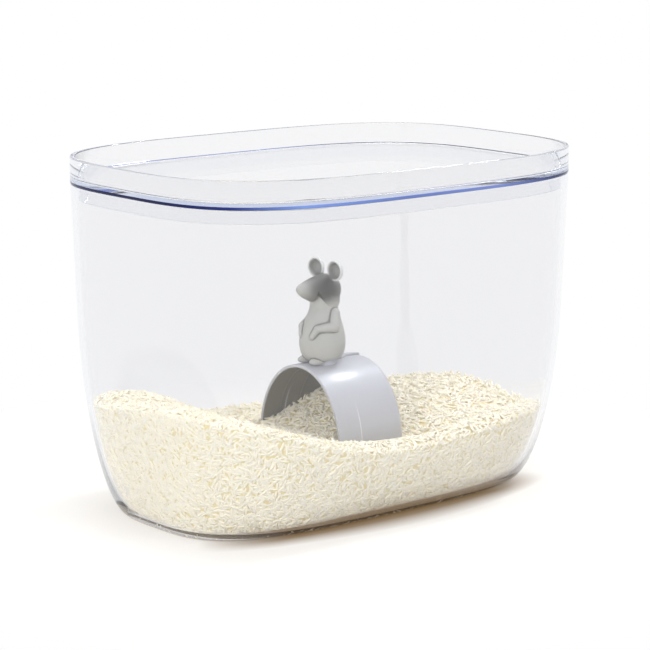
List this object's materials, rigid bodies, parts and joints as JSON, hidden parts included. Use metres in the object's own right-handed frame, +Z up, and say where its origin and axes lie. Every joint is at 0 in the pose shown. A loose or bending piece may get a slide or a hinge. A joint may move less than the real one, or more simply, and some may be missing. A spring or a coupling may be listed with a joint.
{
  "type": "rice container",
  "caption": "Clear oval rice container with a lift-off sunk lid and a grey arched scoop with a mouse-shaped handle standing in the rice.",
  "frame": {"origin": "on the table, under the middle of the tub's base", "axes": "+Z up, X along the tub's long side, the scoop's mouth and the mouse facing -X"},
  "size_m": [0.2981, 0.213, 0.215],
  "materials": {
    "clear_plastic": "polished, clear, faint blue in thick edges",
    "grey_plastic": "satin",
    "grey_figure": "matte",
    "rice": "dry white grains"
  },
  "bodies": {
    "tub": {"tub": "clear_plastic", "rice_fill": "rice"},
    "lid": {"lid": "clear_plastic"},
    "scoop": {"scoop_trough": "grey_plastic", "mouse_body": "grey_figure", "mouse_head": "grey_figure"}
  },
  "joints": [
    {"name": "lid_lift", "type": "slide", "parent": "tub", "child": "lid", "axis": [0, 0, 1], "range_m": [0, 0.27]},
    {"name": "scoop_lift", "type": "slide", "parent": "tub", "child": "scoop", "axis": [0, 0, 1], "range_m": [0, 0.216]}
  ],
  "couplings": [
    {"joint": "scoop_lift", "follows": "lid_lift", "ratio": 0.8}
  ]
}
